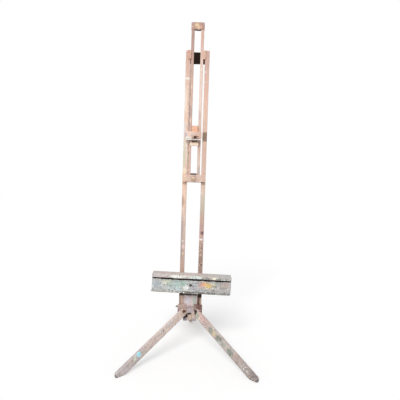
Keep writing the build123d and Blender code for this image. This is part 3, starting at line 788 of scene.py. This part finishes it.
# ---- mast ----
def mast_finishes():
    left = board("stile_left", UP, 1, "left stile wood").wood(
        (0.05, (216, 192, 180)), (0.17, (198, 170, 156)), (0.25, (206, 182, 170)),
        (0.35, (234, 210, 196)), (0.45, (255, 220, 198)), (0.55, (254, 224, 200)),
        (0.65, (255, 240, 224)), (0.75, (255, 224, 204)), (0.87, (254, 224, 206)),
        (0.95, (234, 198, 182)),
    )
    left.specks(0.06).grime(0.28, DULL)
    for height, tall, color in (
        (0.04, 50, (142, 108, 94)), (0.25, 70, (156, 144, 146)), (0.335, 90, (150, 144, 150)),
        (0.44, 35, (146, 124, 114)), (0.61, 100, (204, 204, 184)),
        (0.706, 50, (232, 230, 238)), (0.818, 70, (255, 250, 236)),
    ):
        left.stain_or_painted_shade((0, 0, height), (14, 20, tall), color, broken=0.4)
    left.patches(
        (0.5, 0.897, 60, 10, WHITE_PAINT), (0.45, 0.555, 20, 40, CREAM),
        (0.4, 0.41, 14, 14, (226, 216, 210)), (0.4, 0.284, 14, 16, (232, 222, 220)),
        (0.6, 0.262, 18, 30, (236, 208, 204)), (0.5, 0.235, 14, 26, (222, 198, 170)),
        (0.4, 0.78, 8, 18, CREAM), strength=0.8,
    )
    # painted shadow of the tray across the stile, just below it
    left.stain_or_painted_shade((0.5, 0, 0.075), (40, 30, 10), PAINTED_TRAY_SHADOW, 0.95, 0.25)
    # painted shade on the left stile's inner face, in the gap beside the bar
    left.stain_or_painted_shade((1, 0.5, 0.76), (3, 30, 360), (178, 124, 92), 0.8, 0.3)
    left.worn_edges((250, 228, 212))

    # the darkest tones at the foot of the right stile are painted shade, where the hub block casts its shadow
    right = board("stile_right", UP, 2, "right stile wood").wood(
        (0.04, (92, 64, 56)), (0.1, (150, 122, 110)), (0.16, (190, 164, 152)),
        (0.25, (222, 196, 182)), (0.33, (210, 178, 170)), (0.4, (214, 190, 174)),
        (0.47, (238, 216, 200)), (0.55, (234, 204, 188)), (0.65, (232, 198, 180)),
        (0.76, (246, 212, 192)), (0.86, (242, 200, 182)), (0.95, (222, 186, 174)),
    )
    right.specks(0.03).grime(0.25, (160, 134, 120))
    right.stain_or_painted_shade((0.5, 0, 0.22), (40, 30, 100), (108, 82, 72), 0.85, 0.4, broken=1)
    right.stain_or_painted_shade((0.3, 0, 0.43), (30, 30, 60), (198, 196, 178), 0.6, broken=0.4)
    # painted shadow that the clamp's crossbar casts on the stile
    right.stain_or_painted_shade((0.55, 0, 0.684), (30, 10, 30), (128, 106, 84), 0.85, 0.2)
    right.stain_or_painted_shade((0.7, 0, 0.318), (12, 20, 12), (100, 74, 66), 0.8, 0.4)
    # the paler strip down the right edge at the foot is where that painted shade ends
    right.stain_or_painted_shade((1, 0, 0.045), (12, 30, 40), (206, 178, 162), 0.85, 0.3)
    right.patches(
        (0.4, 0.293, 22, 10, WHITE_PAINT), (0.3, 0.47, 8, 24, (236, 228, 214)), strength=0.95,
    )
    right.patches(
        (0.26, 0.922, 12, 14, WHITE_PAINT), (0.18, 0.886, 10, 12, WHITE_PAINT), strength=0.45,
    )
    # painted shadow of the tray across the stile, just below it
    right.stain_or_painted_shade((0.5, 0, 0.07), (40, 30, 12), PAINTED_TRAY_SHADOW, 0.95, 0.25)
    right.worn_edges((240, 214, 196), 0.35)

    # the head plate's near-black tone is painted shade: it sits deep behind the sliding frame, where shadow falls
    plate = board("head_plate", SIDEWAYS, 3, "dark head plate")
    plate.wood((38, 24, 16)).grime(0.3, (16, 11, 8))
    plate.worn_edges((78, 52, 36), 0.5)
    plate.shine = 0.1

    cleat = board("guide_cleat_left", UP, 4, "left cleat wood").wood((228, 184, 166))
    cleat.specks(0.03).grime(0.2, (176, 122, 102)).worn_edges((236, 198, 176))
    cleat = board("guide_cleat_right", UP, 5, "right cleat wood").wood((234, 198, 178))
    cleat.specks(0.03).grime(0.2, (184, 150, 122)).worn_edges((246, 222, 190))


# ---- sliding frame and canvas clamp ----
def frame_finishes():
    left = board("frame_bar_left", UP, 6, "left bar wood").wood(
        (0.1, (228, 192, 176)), (0.3, (230, 198, 180)), (0.45, (232, 200, 190)),
        (0.6, (238, 204, 182)), (0.76, (218, 186, 172)), (0.93, (202, 168, 158)),
    )
    left.specks(0.02).grime(0.25, DULL)
    left.stain_or_painted_shade((0.42, 0, 0.464), (14, 20, 30), (176, 150, 148), 0.5)
    # painted shadow of the left stile along the left edge of the bar
    left.stain_or_painted_shade((0, 0, 0.4), (4.5, 30, 400), (122, 88, 74))
    left.patches((0.5, 0.4, 8, 20, CREAM), (0.5, 0.62, 6, 24, CREAM), strength=0.7)
    left.worn_edges((240, 208, 190), 0.35)

    right = board("frame_bar_right", UP, 7, "right bar wood").wood(
        (0.12, (240, 220, 206)), (0.28, (220, 186, 172)), (0.45, (250, 228, 214)),
        (0.6, (255, 232, 222)), (0.75, (254, 228, 216)), (0.92, (234, 194, 180)),
    )
    right.specks(0.02).grime(0.2, DULL)
    right.stain_or_painted_shade((0.29, 0, 0.44), (10, 20, 26), (196, 168, 168), 0.5)
    right.stain_or_painted_shade((0.83, 0, 0.079), (12, 20, 30), (176, 166, 164), 0.6)
    right.patches((0.5, 0.73, 8, 18, WHITE_PAINT), strength=0.7)
    right.worn_edges((250, 226, 208), 0.35)

    top = board("frame_top_block", SIDEWAYS, 8, "top block wood")
    top.wood((0.15, (206, 172, 158)), (0.5, (222, 188, 168)), (0.85, (200, 162, 150)))
    top.patches(
        (0.42, 0.62, 24, 16, (250, 226, 176)), (0.56, 0.36, 16, 18, (240, 210, 166)),
        (0.05, 0.85, 16, 16, (184, 164, 176)), (0.93, 0.8, 14, 18, (190, 170, 184)),
        (0.14, 0.4, 12, 12, (228, 178, 158)), (0.74, 0.42, 14, 16, (226, 176, 158)), soft=0.5,
        strength=0.8,
    )
    top.specks(0.06).grime(0.25, (150, 120, 110))
    # painted shade on the underside of the top block, between the bars
    top.stain_or_painted_shade((0.5, 0.4, 0), (30, 30, 4), (84, 60, 58), 0.9, 0.3)
    top.worn_edges((230, 198, 182), 0.35)

    cross = board("frame_crosspiece", SIDEWAYS, 9, "crosspiece wood").wood(
        (0.1, (252, 218, 192)), (0.3, (238, 210, 196)), (0.5, (208, 186, 176)),
        (0.7, (238, 210, 196)), (0.9, (244, 214, 198)),
    )
    cross.patches(
        (0.38, 0.5, 14, 10, (206, 198, 192)), (0.8, 0.2, 20, 8, (244, 232, 216)),
        (0.12, 0.8, 12, 10, CREAM), strength=0.7,
    )
    # painted shade under each end of the crosspiece, where it passes over the stiles
    for across in (0.17, 0.87):
        cross.stain_or_painted_shade((across, 0, 0), (14, 20, 6), (96, 70, 62), 0.8, 0.4)
    cross.specks(0.08).grime(0.25, (150, 124, 110)).worn_edges((244, 214, 192), 0.35)

    # the bottom rail's dark tone is painted shade, for where it lies in shadow between the bars
    rail = board("frame_bottom_rail", SIDEWAYS, 10, "bottom rail wood").wood((120, 98, 90))
    rail.grime(0.5, (70, 56, 52)).worn_edges((160, 134, 122))
    plate = board("frame_back_plate", SIDEWAYS, 11).wood((214, 180, 160))
    plate.grime(0.4, DULL).worn_edges((230, 200, 176), 0.6)

    # the pale tone at the foot of the block is painted light, where the lip above shades it
    block = board("clamp_block", UP, 12, "bare clamp block wood").wood(
        (0.05, (255, 238, 218)), (0.5, (252, 200, 166)), (0.95, (255, 208, 180)), rings=160,
    )
    block.grime(0.12, (206, 150, 116)).worn_edges((255, 226, 200))
    # painted shade down the right edge of the block, low and high, beside the bar
    block.stain_or_painted_shade((1, 0, 0.1), (6, 20, 30), (112, 76, 58), 0.85, 0.4)
    block.stain_or_painted_shade((1, 0, 0.86), (6, 20, 20), (112, 76, 58), 0.8, 0.4)
    # painted shade in the notch under the lip
    block.stain_or_painted_shade((0.5, 0.3, 0.205), (40, 30, 5), (70, 48, 40), 0.85, 0.4)
    bar = board("clamp_crossbar", SIDEWAYS, 13, "crossbar wood").wood(
        (0.15, (252, 224, 212)), (0.4, (254, 228, 212)), (0.62, (244, 210, 194)),
        (0.88, (234, 198, 180)),
    )
    bar.patches(
        (0.06, 0.5, 16, 30, (196, 184, 190)), (0.45, 0.45, 16, 14, (204, 188, 186)),
        (0.16, 0.1, 50, 14, WHITE_PAINT), strength=0.8,
    )
    bar.specks(0.05).grime(0.2, DULL).worn_edges((250, 226, 208))
    lip = board("clamp_lip", SIDEWAYS, 14, "white painted lip").wood((252, 240, 230))
    lip.cover((250, 244, 236), (255, 252, 248), (255, 255, 253), scale=50, share=1.3)
    lip.worn_edges((246, 226, 210), 0.3)
    pads = board("clamp_pads", SIDEWAYS, 15, "clamp pad wood")
    pads.wood((214, 176, 152)).grime(0.4, DULL)


# ---- canvas tray ----
def tray_finishes():
    ledge = board("tray_ledge", SIDEWAYS, 16, facing=FORWARD).wood(
        (0.05, (212, 206, 206)), (0.15, (212, 198, 194)), (0.3, (212, 202, 196)),
        (0.45, (216, 203, 194)), (0.65, (214, 200, 192)), (0.85, (206, 200, 194)),
        (0.95, (196, 194, 192)),
    )
    ledge.cover((200, 192, 188), (214, 206, 202), (224, 216, 210), scale=60, share=0.5)
    ledge.patches(
        (0.36, 0.6, 120, 14, (240, 240, 236)), (0.641, 0.394, 26, 12, (150, 182, 168)),
        (0.795, 0.502, 30, 12, CREAM), (0.655, 0.5, 50, 22, (164, 164, 158)),
        (0.92, 0.5, 120, 22, (166, 164, 158)), (0.14, 0.4, 90, 10, (214, 192, 192)),
        (0.74, 0.35, 60, 10, (150, 146, 140)), (0.88, 0.3, 60, 10, (140, 138, 130)),
        (0.46, 0.2, 100, 6, (196, 184, 182)), reach=12, soft=0.5, strength=0.7, broken=0.4,
    )
    ledge.patches(
        (0.7, 0.4, 30, 12, (104, 100, 92)), (0.83, 0.38, 40, 14, (98, 96, 84)),
        (0.93, 0.36, 40, 12, (106, 104, 96)), (0.6, 0.3, 40, 10, (120, 116, 110)), reach=12,
        soft=0.5, strength=0.8, broken=0.9,
    )
    ledge.patches(
        (0.305, 0.36, 70, 26, WHITE_PAINT), (0.55, 0.48, 76, 22, (226, 238, 234)),
        (0.785, 0.5, 26, 14, (252, 246, 224)), reach=12, strength=0.95,
    )
    for across, depth, wide, color in (
        (0.16, 0.45, 80, (224, 200, 196)), (0.45, 0.6, 70, (226, 206, 194)),
        (0.78, 0.4, 40, (206, 214, 204)),
    ):
        ledge.splash(
            (across, depth, 1), (wide, 16, 10), color, soft=0.5, strength=0.4, broken=0.4
        )
    ledge.specks(0.45, 130, 0.42, TRAY_SPATTER).grime(0.2, (150, 150, 148))
    ledge.worn_edges((232, 216, 206))
    # painted shade along the lower edge of the ledge, above the apron
    ledge.stain_or_painted_shade((0.5, 0, 0), (300, 12, 3), (60, 46, 42), 0.8, 0.4)

    apron = board("tray_apron", SIDEWAYS, 17, "painted apron", FORWARD).wood(
        (0.05, (204, 208, 210)), (0.2, (206, 210, 206)), (0.32, (200, 210, 208)),
        (0.45, (208, 210, 208)), (0.55, (200, 198, 200)), (0.7, (204, 198, 186)),
        (0.95, (198, 188, 182)),
    )
    apron.cover(
        (168, 172, 172), (198, 202, 200), (218, 220, 218), scale=70, share=0.7,
        stretch=(0.8, 1, 1.3),
    )
    apron.patches(
        (0.067, 0.525, 40, 40, (160, 172, 184)), (0.204, 0.703, 50, 24, (216, 222, 178)),
        (0.319, 0.534, 120, 50, (168, 198, 190)), (0.394, 0.665, 40, 30, (128, 172, 158)),
        (0.33, 0.25, 110, 30, (206, 224, 230)), (0.535, 0.396, 70, 30, (184, 178, 190)),
        (0.622, 0.592, 36, 34, (218, 156, 156)), (0.671, 0.675, 50, 34, (250, 166, 96)),
        (0.723, 0.569, 60, 36, (246, 196, 70)), (0.785, 0.676, 26, 22, (212, 212, 180)),
        (0.845, 0.803, 40, 14, (110, 118, 104)), (0.92, 0.676, 60, 34, (186, 150, 138)),
        (0.3, 0.8, 80, 16, (150, 170, 164)), (0.62, 0.22, 100, 20, (176, 174, 176)),
        (0.86, 0.36, 120, 26, (180, 176, 174)), soft=0.6, strength=0.7, broken=0.45,
    )
    apron.specks(0.8, 185, 0.46, TRAY_SPATTER).specks(0.14, 100, 0.34, TRAY_SPATTER)
    apron.patches(
        (0.8, 0.25, 50, 14, (120, 116, 114)), (0.9, 0.45, 40, 18, (130, 122, 118)),
        (0.68, 0.3, 40, 12, (118, 114, 116)), (0.55, 0.74, 40, 14, (112, 112, 112)),
        (0.78, 0.55, 30, 14, (120, 118, 110)), (0.95, 0.2, 40, 14, (118, 114, 110)),
        (0.1, 0.3, 50, 14, (146, 152, 156)), (0.24, 0.45, 30, 14, (146, 158, 152)), soft=0.6,
        strength=0.7, broken=0.9,
    )
    apron.patches(
        (0.432, 0.372, 36, 30, WHITE_PAINT), (0.438, 0.36, 26, 22, (255, 255, 255)),
        (0.165, 0.623, 22, 16, (246, 238, 212)), (0.268, 0.796, 9, 9, (206, 166, 150)),
        (0.399, 0.273, 9, 9, (214, 180, 150)), (0.49, 0.61, 10, 10, (96, 98, 98)),
        (0.51, 0.56, 10, 10, (90, 90, 90)), (0.525, 0.5, 8, 10, (100, 100, 100)),
        (0.62, 0.59, 24, 22, (214, 164, 158)), (0.664, 0.67, 30, 20, (238, 182, 128)),
        (0.718, 0.585, 32, 20, (232, 200, 104)), soft=0.5, strength=0.65,
    )
    apron.grime(0.25, (128, 128, 124))
    # painted shadow of the ledge across the top of the apron
    apron.stain_or_painted_shade((0.5, 0, 1), (400, 30, 12.5), (26, 17, 15), 0.98, 0.12)
    apron.worn_edges((216, 208, 200))

    strip = board("tray_strip", SIDEWAYS, 18, facing=FORWARD).wood(
        (0.1, (200, 198, 192)), (0.3, (196, 194, 188)), (0.42, (134, 128, 122)),
        (0.7, (116, 112, 108)), (0.9, (186, 186, 184)),
    )
    strip.cover((150, 146, 136), (184, 180, 172), (206, 204, 200), scale=80, share=0.5)
    strip.specks(0.9, 120, 0.5, TRAY_SPATTER).grime(0.35, (104, 102, 92))
    strip.patches(
        (0.5, 0.5, 50, 20, (84, 78, 74)), (0.63, 0.5, 40, 20, (88, 84, 82)),
        (0.76, 0.5, 60, 20, (92, 88, 86)), (0.92, 0.5, 40, 20, (110, 108, 104)), soft=0.6,
        strength=0.75, broken=0.9,
    )
    strip.worn_edges((214, 206, 196))

    for node, along, seed in (
        ("tray_bearer", SIDEWAYS, 19), ("tray_gussets", UP, 20), ("tray_key", SIDEWAYS, 21),
        ("tray_back_plate", SIDEWAYS, 22),
    ):
        plain = board(node, along, seed).wood((210, 178, 160))
        plain.specks(0.12).grime(0.4, (130, 106, 94)).worn_edges((226, 200, 180), 0.6)


# ---- hub and legs ----
def hub_finishes():
    core = board("hub_core", UP, 24, "painted hub core").wood((236, 210, 200))
    core.splash(
        (0.5, 0.5, 0.75), (60, 50, 100), (212, 200, 200), soft=0.4, strength=0.7, thickness=0.2,
    )
    core.patches(
        (0.32, 0.68, 36, 60, (216, 212, 222)), (0.8, 0.72, 22, 100, (184, 198, 190)),
        (0.2, 0.862, 22, 14, WHITE_PAINT), (0.62, 0.74, 10, 90, (224, 206, 202)),
        (0.93, 0.8, 10, 70, (214, 190, 182)), (0.45, 0.46, 60, 24, (170, 148, 148)),
        (0.5, 0.36, 44, 36, (188, 178, 182)), soft=0.5, strength=0.85,
    )
    core.specks(0.3, 170, 0.36).grime(0.3, (150, 128, 122))
    # painted shadow of the tray across the top of the hub core
    core.stain_or_painted_shade((0.5, 0, 0.885), (60, 20, 6), PAINTED_TRAY_SHADOW, 0.95, 0.3)
    # painted shadow of the left leg on the hub core
    for across, height in ((0.46, 0.236), (0.32, 0.2), (0.186, 0.155), (0.05, 0.108)):
        core.stain_or_painted_shade((across, 0, height), (15, 20, 11), (30, 20, 16), 0.95, 0.3)
    core.stain_or_painted_shade((0.5, 0, 0), (60, 40, 22), (158, 154, 162), 0.8, 0.4)
    core.worn_edges((222, 200, 188))
    for node, seed, wood, edges, marks, strength in (
        ("hub_vee_block_left", 25, (226, 202, 192), (176, 140, 124), (
            (0.2, 0.45, 46, 50, (160, 150, 158)), (0.62, 0.24, 16, 12, (240, 226, 224)),
        ), 0.85),
        # the right vee block's dark tone is painted shade, for the side of the mast foot that lies in shadow
        ("hub_vee_block_right", 26, (124, 94, 88), (190, 156, 142), (
            (0.1, 0.5, 34, 100, (206, 188, 178)),
        ), 0.8),
    ):
        block = board(node, SIDEWAYS, seed).wood(wood)
        block.patches(*marks, reach=60, soft=0.6, strength=strength)
        block.specks(0.1).grime(0.35, (140, 112, 102)).worn_edges(edges, 0.5)
    pegs = board("leg_stop_pegs", FORWARD, 27, "stop peg wood")
    pegs.wood((214, 198, 198)).specks(0.2).grime(0.3, (150, 136, 136))


LEFT_LEG_MARKS = [
    (0.306, 0.76, 28, 34, (172, 244, 255)), (0.25, 0.66, 18, 18, (226, 236, 212)),
    (0.268, 0.9, 12, 10, (244, 238, 234)), (0.225, 0.5, 14, 12, (230, 236, 216)),
    (0.763, 0.8, 44, 20, (200, 198, 212)), (0.639, 0.9, 16, 10, (160, 154, 158)),
    (0.401, 0.9, 18, 10, (160, 156, 158)), (0.473, 0.65, 20, 14, (232, 214, 200)),
    (0.35, 0.55, 24, 12, (190, 180, 178)), (0.56, 0.5, 18, 12, (230, 216, 204)),
    (0.12, 0.45, 20, 12, (214, 206, 204)), (0.84, 0.45, 30, 10, (220, 194, 170)),
]
RIGHT_LEG_MARKS = [
    (0.062, 0.42, 46, 40, (186, 186, 168)), (0.104, 0.42, 14, 14, (255, 246, 222)),
    (0.125, 0.06, 40, 12, (214, 214, 192)), (0.296, 0.5, 50, 40, (112, 132, 118)),
    (0.347, 0.58, 30, 26, (228, 206, 150)), (0.36, 0.1, 24, 14, (222, 178, 172)),
    (0.425, 0.55, 60, 44, (100, 118, 104)), (0.456, 0.28, 26, 20, (210, 208, 202)),
    (0.502, 0.55, 36, 26, (162, 172, 160)), (0.605, 0.48, 52, 44, (106, 130, 114)),
    (0.15, 0.72, 80, 30, (230, 190, 188)), (0.664, 0.75, 20, 12, (204, 172, 164)),
    (0.782, 0.45, 14, 12, (226, 222, 222)), (0.862, 0.6, 14, 12, (232, 230, 230)),
    (0.207, 0.7, 20, 6, (150, 158, 150)),
]
LEFT_LEG_TONES = [
    (0.1, (214, 212, 216)), (0.2, (212, 203, 204)), (0.3, (210, 206, 210)), (0.4, (224, 212, 207)),
    (0.5, (236, 219, 213)), (0.7, (255, 240, 228)), (0.85, (250, 232, 222)),
    (0.95, (255, 230, 216)),
]
RIGHT_LEG_TONES = [
    (0.1, (240, 212, 204)), (0.2, (220, 195, 187)), (0.3, (240, 228, 218)), (0.45, (214, 206, 198)),
    (0.6, (214, 206, 202)), (0.7, (190, 172, 164)), (0.8, (182, 178, 177)), (0.92, (122, 118, 118)),
]


def leg_finishes():
    for node, tones, marks, toe, seed in (
        ("leg_left", LEFT_LEG_TONES, LEFT_LEG_MARKS, 0, 28),
        ("leg_right", RIGHT_LEG_TONES, RIGHT_LEG_MARKS, 1, 29),
    ):
        facing = Vector(joints[node + "_fold"]["axis"]).normalized()
        facing = facing if facing.y < 0 else -facing
        leg = board(node, UP, seed, facing=facing).wood(*tones)
        leg.cover((150, 138, 142), (204, 186, 180), (244, 218, 202), scale=70, share=0.6)
        leg.patches(*marks[3:], soft=0.5, strength=0.95, broken=0.6)
        leg.patches(*marks[:3], soft=0.3)
        leg.specks(0.22, 150, 0.38).specks(0.12, 90, 0.4, TRAY_SPATTER)
        leg.grime(0.28, (150, 132, 124))
        leg.stain_or_painted_shade((toe, 0, 0.5), (10, 60, 60), (92, 90, 88), 0.8, 0.3)
        leg.worn_edges((232, 210, 196), 0.25)
        # painted shade along the lower edge of each leg
        leg.stain_or_painted_shade((0.5, 0, 0), (700, 30, 4.5), (128, 100, 90), 0.6, 0.4)
    rear = board("leg_rear", UP, 30, "rear leg wood", SIDEWAYS)
    # the pale head end of the rear leg is painted light, where it lies in shade under the hub
    rear.wood((0.1, (255, 236, 218)), (0.22, (212, 184, 166))).specks(0.12)
    rear.grime(0.4, (120, 100, 92)).worn_edges((226, 202, 184), 0.6)


def fit_boards():
    mast_finishes()
    frame_finishes()
    tray_finishes()
    hub_finishes()
    leg_finishes()
    for node, finish in boards.items():
        worn_board(node, finish.done())


# ---- fittings ----
RUSTY = ((96, 78, 66), (112, 62, 38), 0.9, 0.3)     # bare, rust, share of rust, how metallic
DARK = ((44, 46, 42), (72, 50, 38), 0.4, 0.5)
GREY = ((160, 158, 156), (120, 100, 88), 0.35, 0.2)
STEEL = ((70, 66, 62), (96, 60, 42), 0.5, 0.75)
KNOB = ((214, 184, 160), (140, 104, 86), 0.4, 0.3)
PAINTED = ((206, 170, 150), (206, 170, 150), 0.4, 0.1)


def iron_finish(name, node, look):
    finish = Finish(name, node, UP, seed=30)
    finish.iron(*look).worn_edges((170, 164, 156))
    finish.shine = 0.5
    return finish.done(bump=0.4)


def fit_fittings():
    for node, word, look in (
        ("tilt_wing_nut", "grey", GREY), ("leg_wing_nut_left", "rusty", RUSTY),
        ("leg_wing_nut_right", "dark", DARK), ("rear_leg_wing_nut", "rear", RUSTY),
        ("frame_wing_nut", "frame", DARK), ("clamp_wing_nut", "clamp", RUSTY),
        ("tray_wing_nut", "tray", DARK),
    ):
        cast_nut(node, iron_finish(word + " wing nut iron", node, look))
    steel = iron_finish("bolt steel", "tilt_bolt", STEEL)
    knob = iron_finish("knob head brass", "frame_bolt", KNOB)
    for node, *joint_names in (
        ("tilt_bolt", "tilt_nut_turn"), ("rear_leg_bolt", "leg_nut_rear_turn"),
        ("front_leg_bolts", "leg_nut_left_turn", "leg_nut_right_turn"),
        ("frame_bolt", "frame_nut_turn"), ("clamp_bolt", "clamp_nut_turn"),
        ("tray_bolt", "tray_nut_turn"),
    ):
        head_rings, material = (KNOB_HEAD, knob) if node == "frame_bolt" else (ROUND_HEAD, steel)
        pieces = [threaded_bolt(node, joint_name, head_rings) for joint_name in joint_names]
        settle(join(node + "_threaded", pieces), node, material)
    for node, piece in nodes.items():
        if "washer" in node:
            dress(piece, steel)
        elif "screws" in node:
            dress(piece, iron_finish("painted screw", node, PAINTED))


# ---- studio ----
EYE_FROM_MAST = Vector((0.0432, -2.2352, 1.1777))
LOOKS_DOWN = math.radians(4.4156)
LEANS_OVER = math.radians(1.8675)
LENS = 30.986
FILM_WIDTH = 36.0
KEY_AIM = Vector((0.20, 0.74, -0.64))
KEY_STRENGTH = 1.75
KEY_SPREAD = math.radians(24)
ROOM_LIGHT = 0.5
FLOOR_GLOW = 0.32       # what the floor gives to the eye alone, so that it looks white
FLOOR_RADIUS = 14.0
WHITE = (1, 1, 1, 1)


def set_camera():
    left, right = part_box("stile_left"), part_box("stile_right")
    mast = Vector((0, (left[0].y + left[1].y) / 2, cad_box[0][2]))
    camera = add_object("camera", bpy.data.cameras.new("camera"))
    camera.data.lens = LENS
    camera.data.sensor_width = FILM_WIDTH
    turn = Matrix.Rotation(math.pi / 2 - LOOKS_DOWN, 4, "X") @ Matrix.Rotation(LEANS_OVER, 4, "Z")
    camera.matrix_world = Matrix.Translation(mast + EYE_FROM_MAST) @ turn
    bpy.context.scene.camera = camera


def set_light():
    """One large soft light from the front, a little to the left, and an even room around it."""
    lamp = add_object("key", bpy.data.lights.new("key", "SUN"))
    lamp.data.energy = KEY_STRENGTH
    lamp.data.angle = KEY_SPREAD
    lamp.rotation_euler = KEY_AIM.to_track_quat("-Z", "Y").to_euler()
    world = bpy.data.worlds.new("studio")
    sheet = Sheet(blank_tree(world))
    rays = sheet.add("LightPath").outputs
    seen = sheet.math("MAXIMUM", rays["Is Camera Ray"], rays["Is Glossy Ray"])
    seen = sheet.math("MAXIMUM", seen, rays["Is Transmission Ray"])
    inputs = {"Color": WHITE, "Strength": sheet.spread(seen, 0.0, 1.0, ROOM_LIGHT, 1.0)}
    background = sheet.add("Background", inputs)
    sheet.add("OutputWorld", {"Surface": background.outputs[0]})
    bpy.context.scene.world = world
    bpy.context.scene.view_settings.view_transform = "Standard"


def lay_floor():
    bpy.ops.mesh.primitive_circle_add(vertices=64, radius=FLOOR_RADIUS, fill_type="NGON")
    floor = bpy.context.active_object
    floor.name = "floor"
    floor.location.z = cad_box[0][2]
    material = bpy.data.materials.new("studio floor")
    sheet = Sheet(blank_tree(material))
    camera_ray = sheet.add("LightPath").outputs["Is Camera Ray"]
    sheet.surface(
        Base_Color=(0.8, 0.8, 0.8, 1),
        Roughness=0.9,
        Specular_IOR_Level=0.0,
        Emission_Color=WHITE,
        Emission_Strength=sheet.times(camera_ray, FLOOR_GLOW),
    )
    floor.data.materials.append(material)


fit_boards()
fit_fittings()
lay_floor()
set_camera()
set_light()
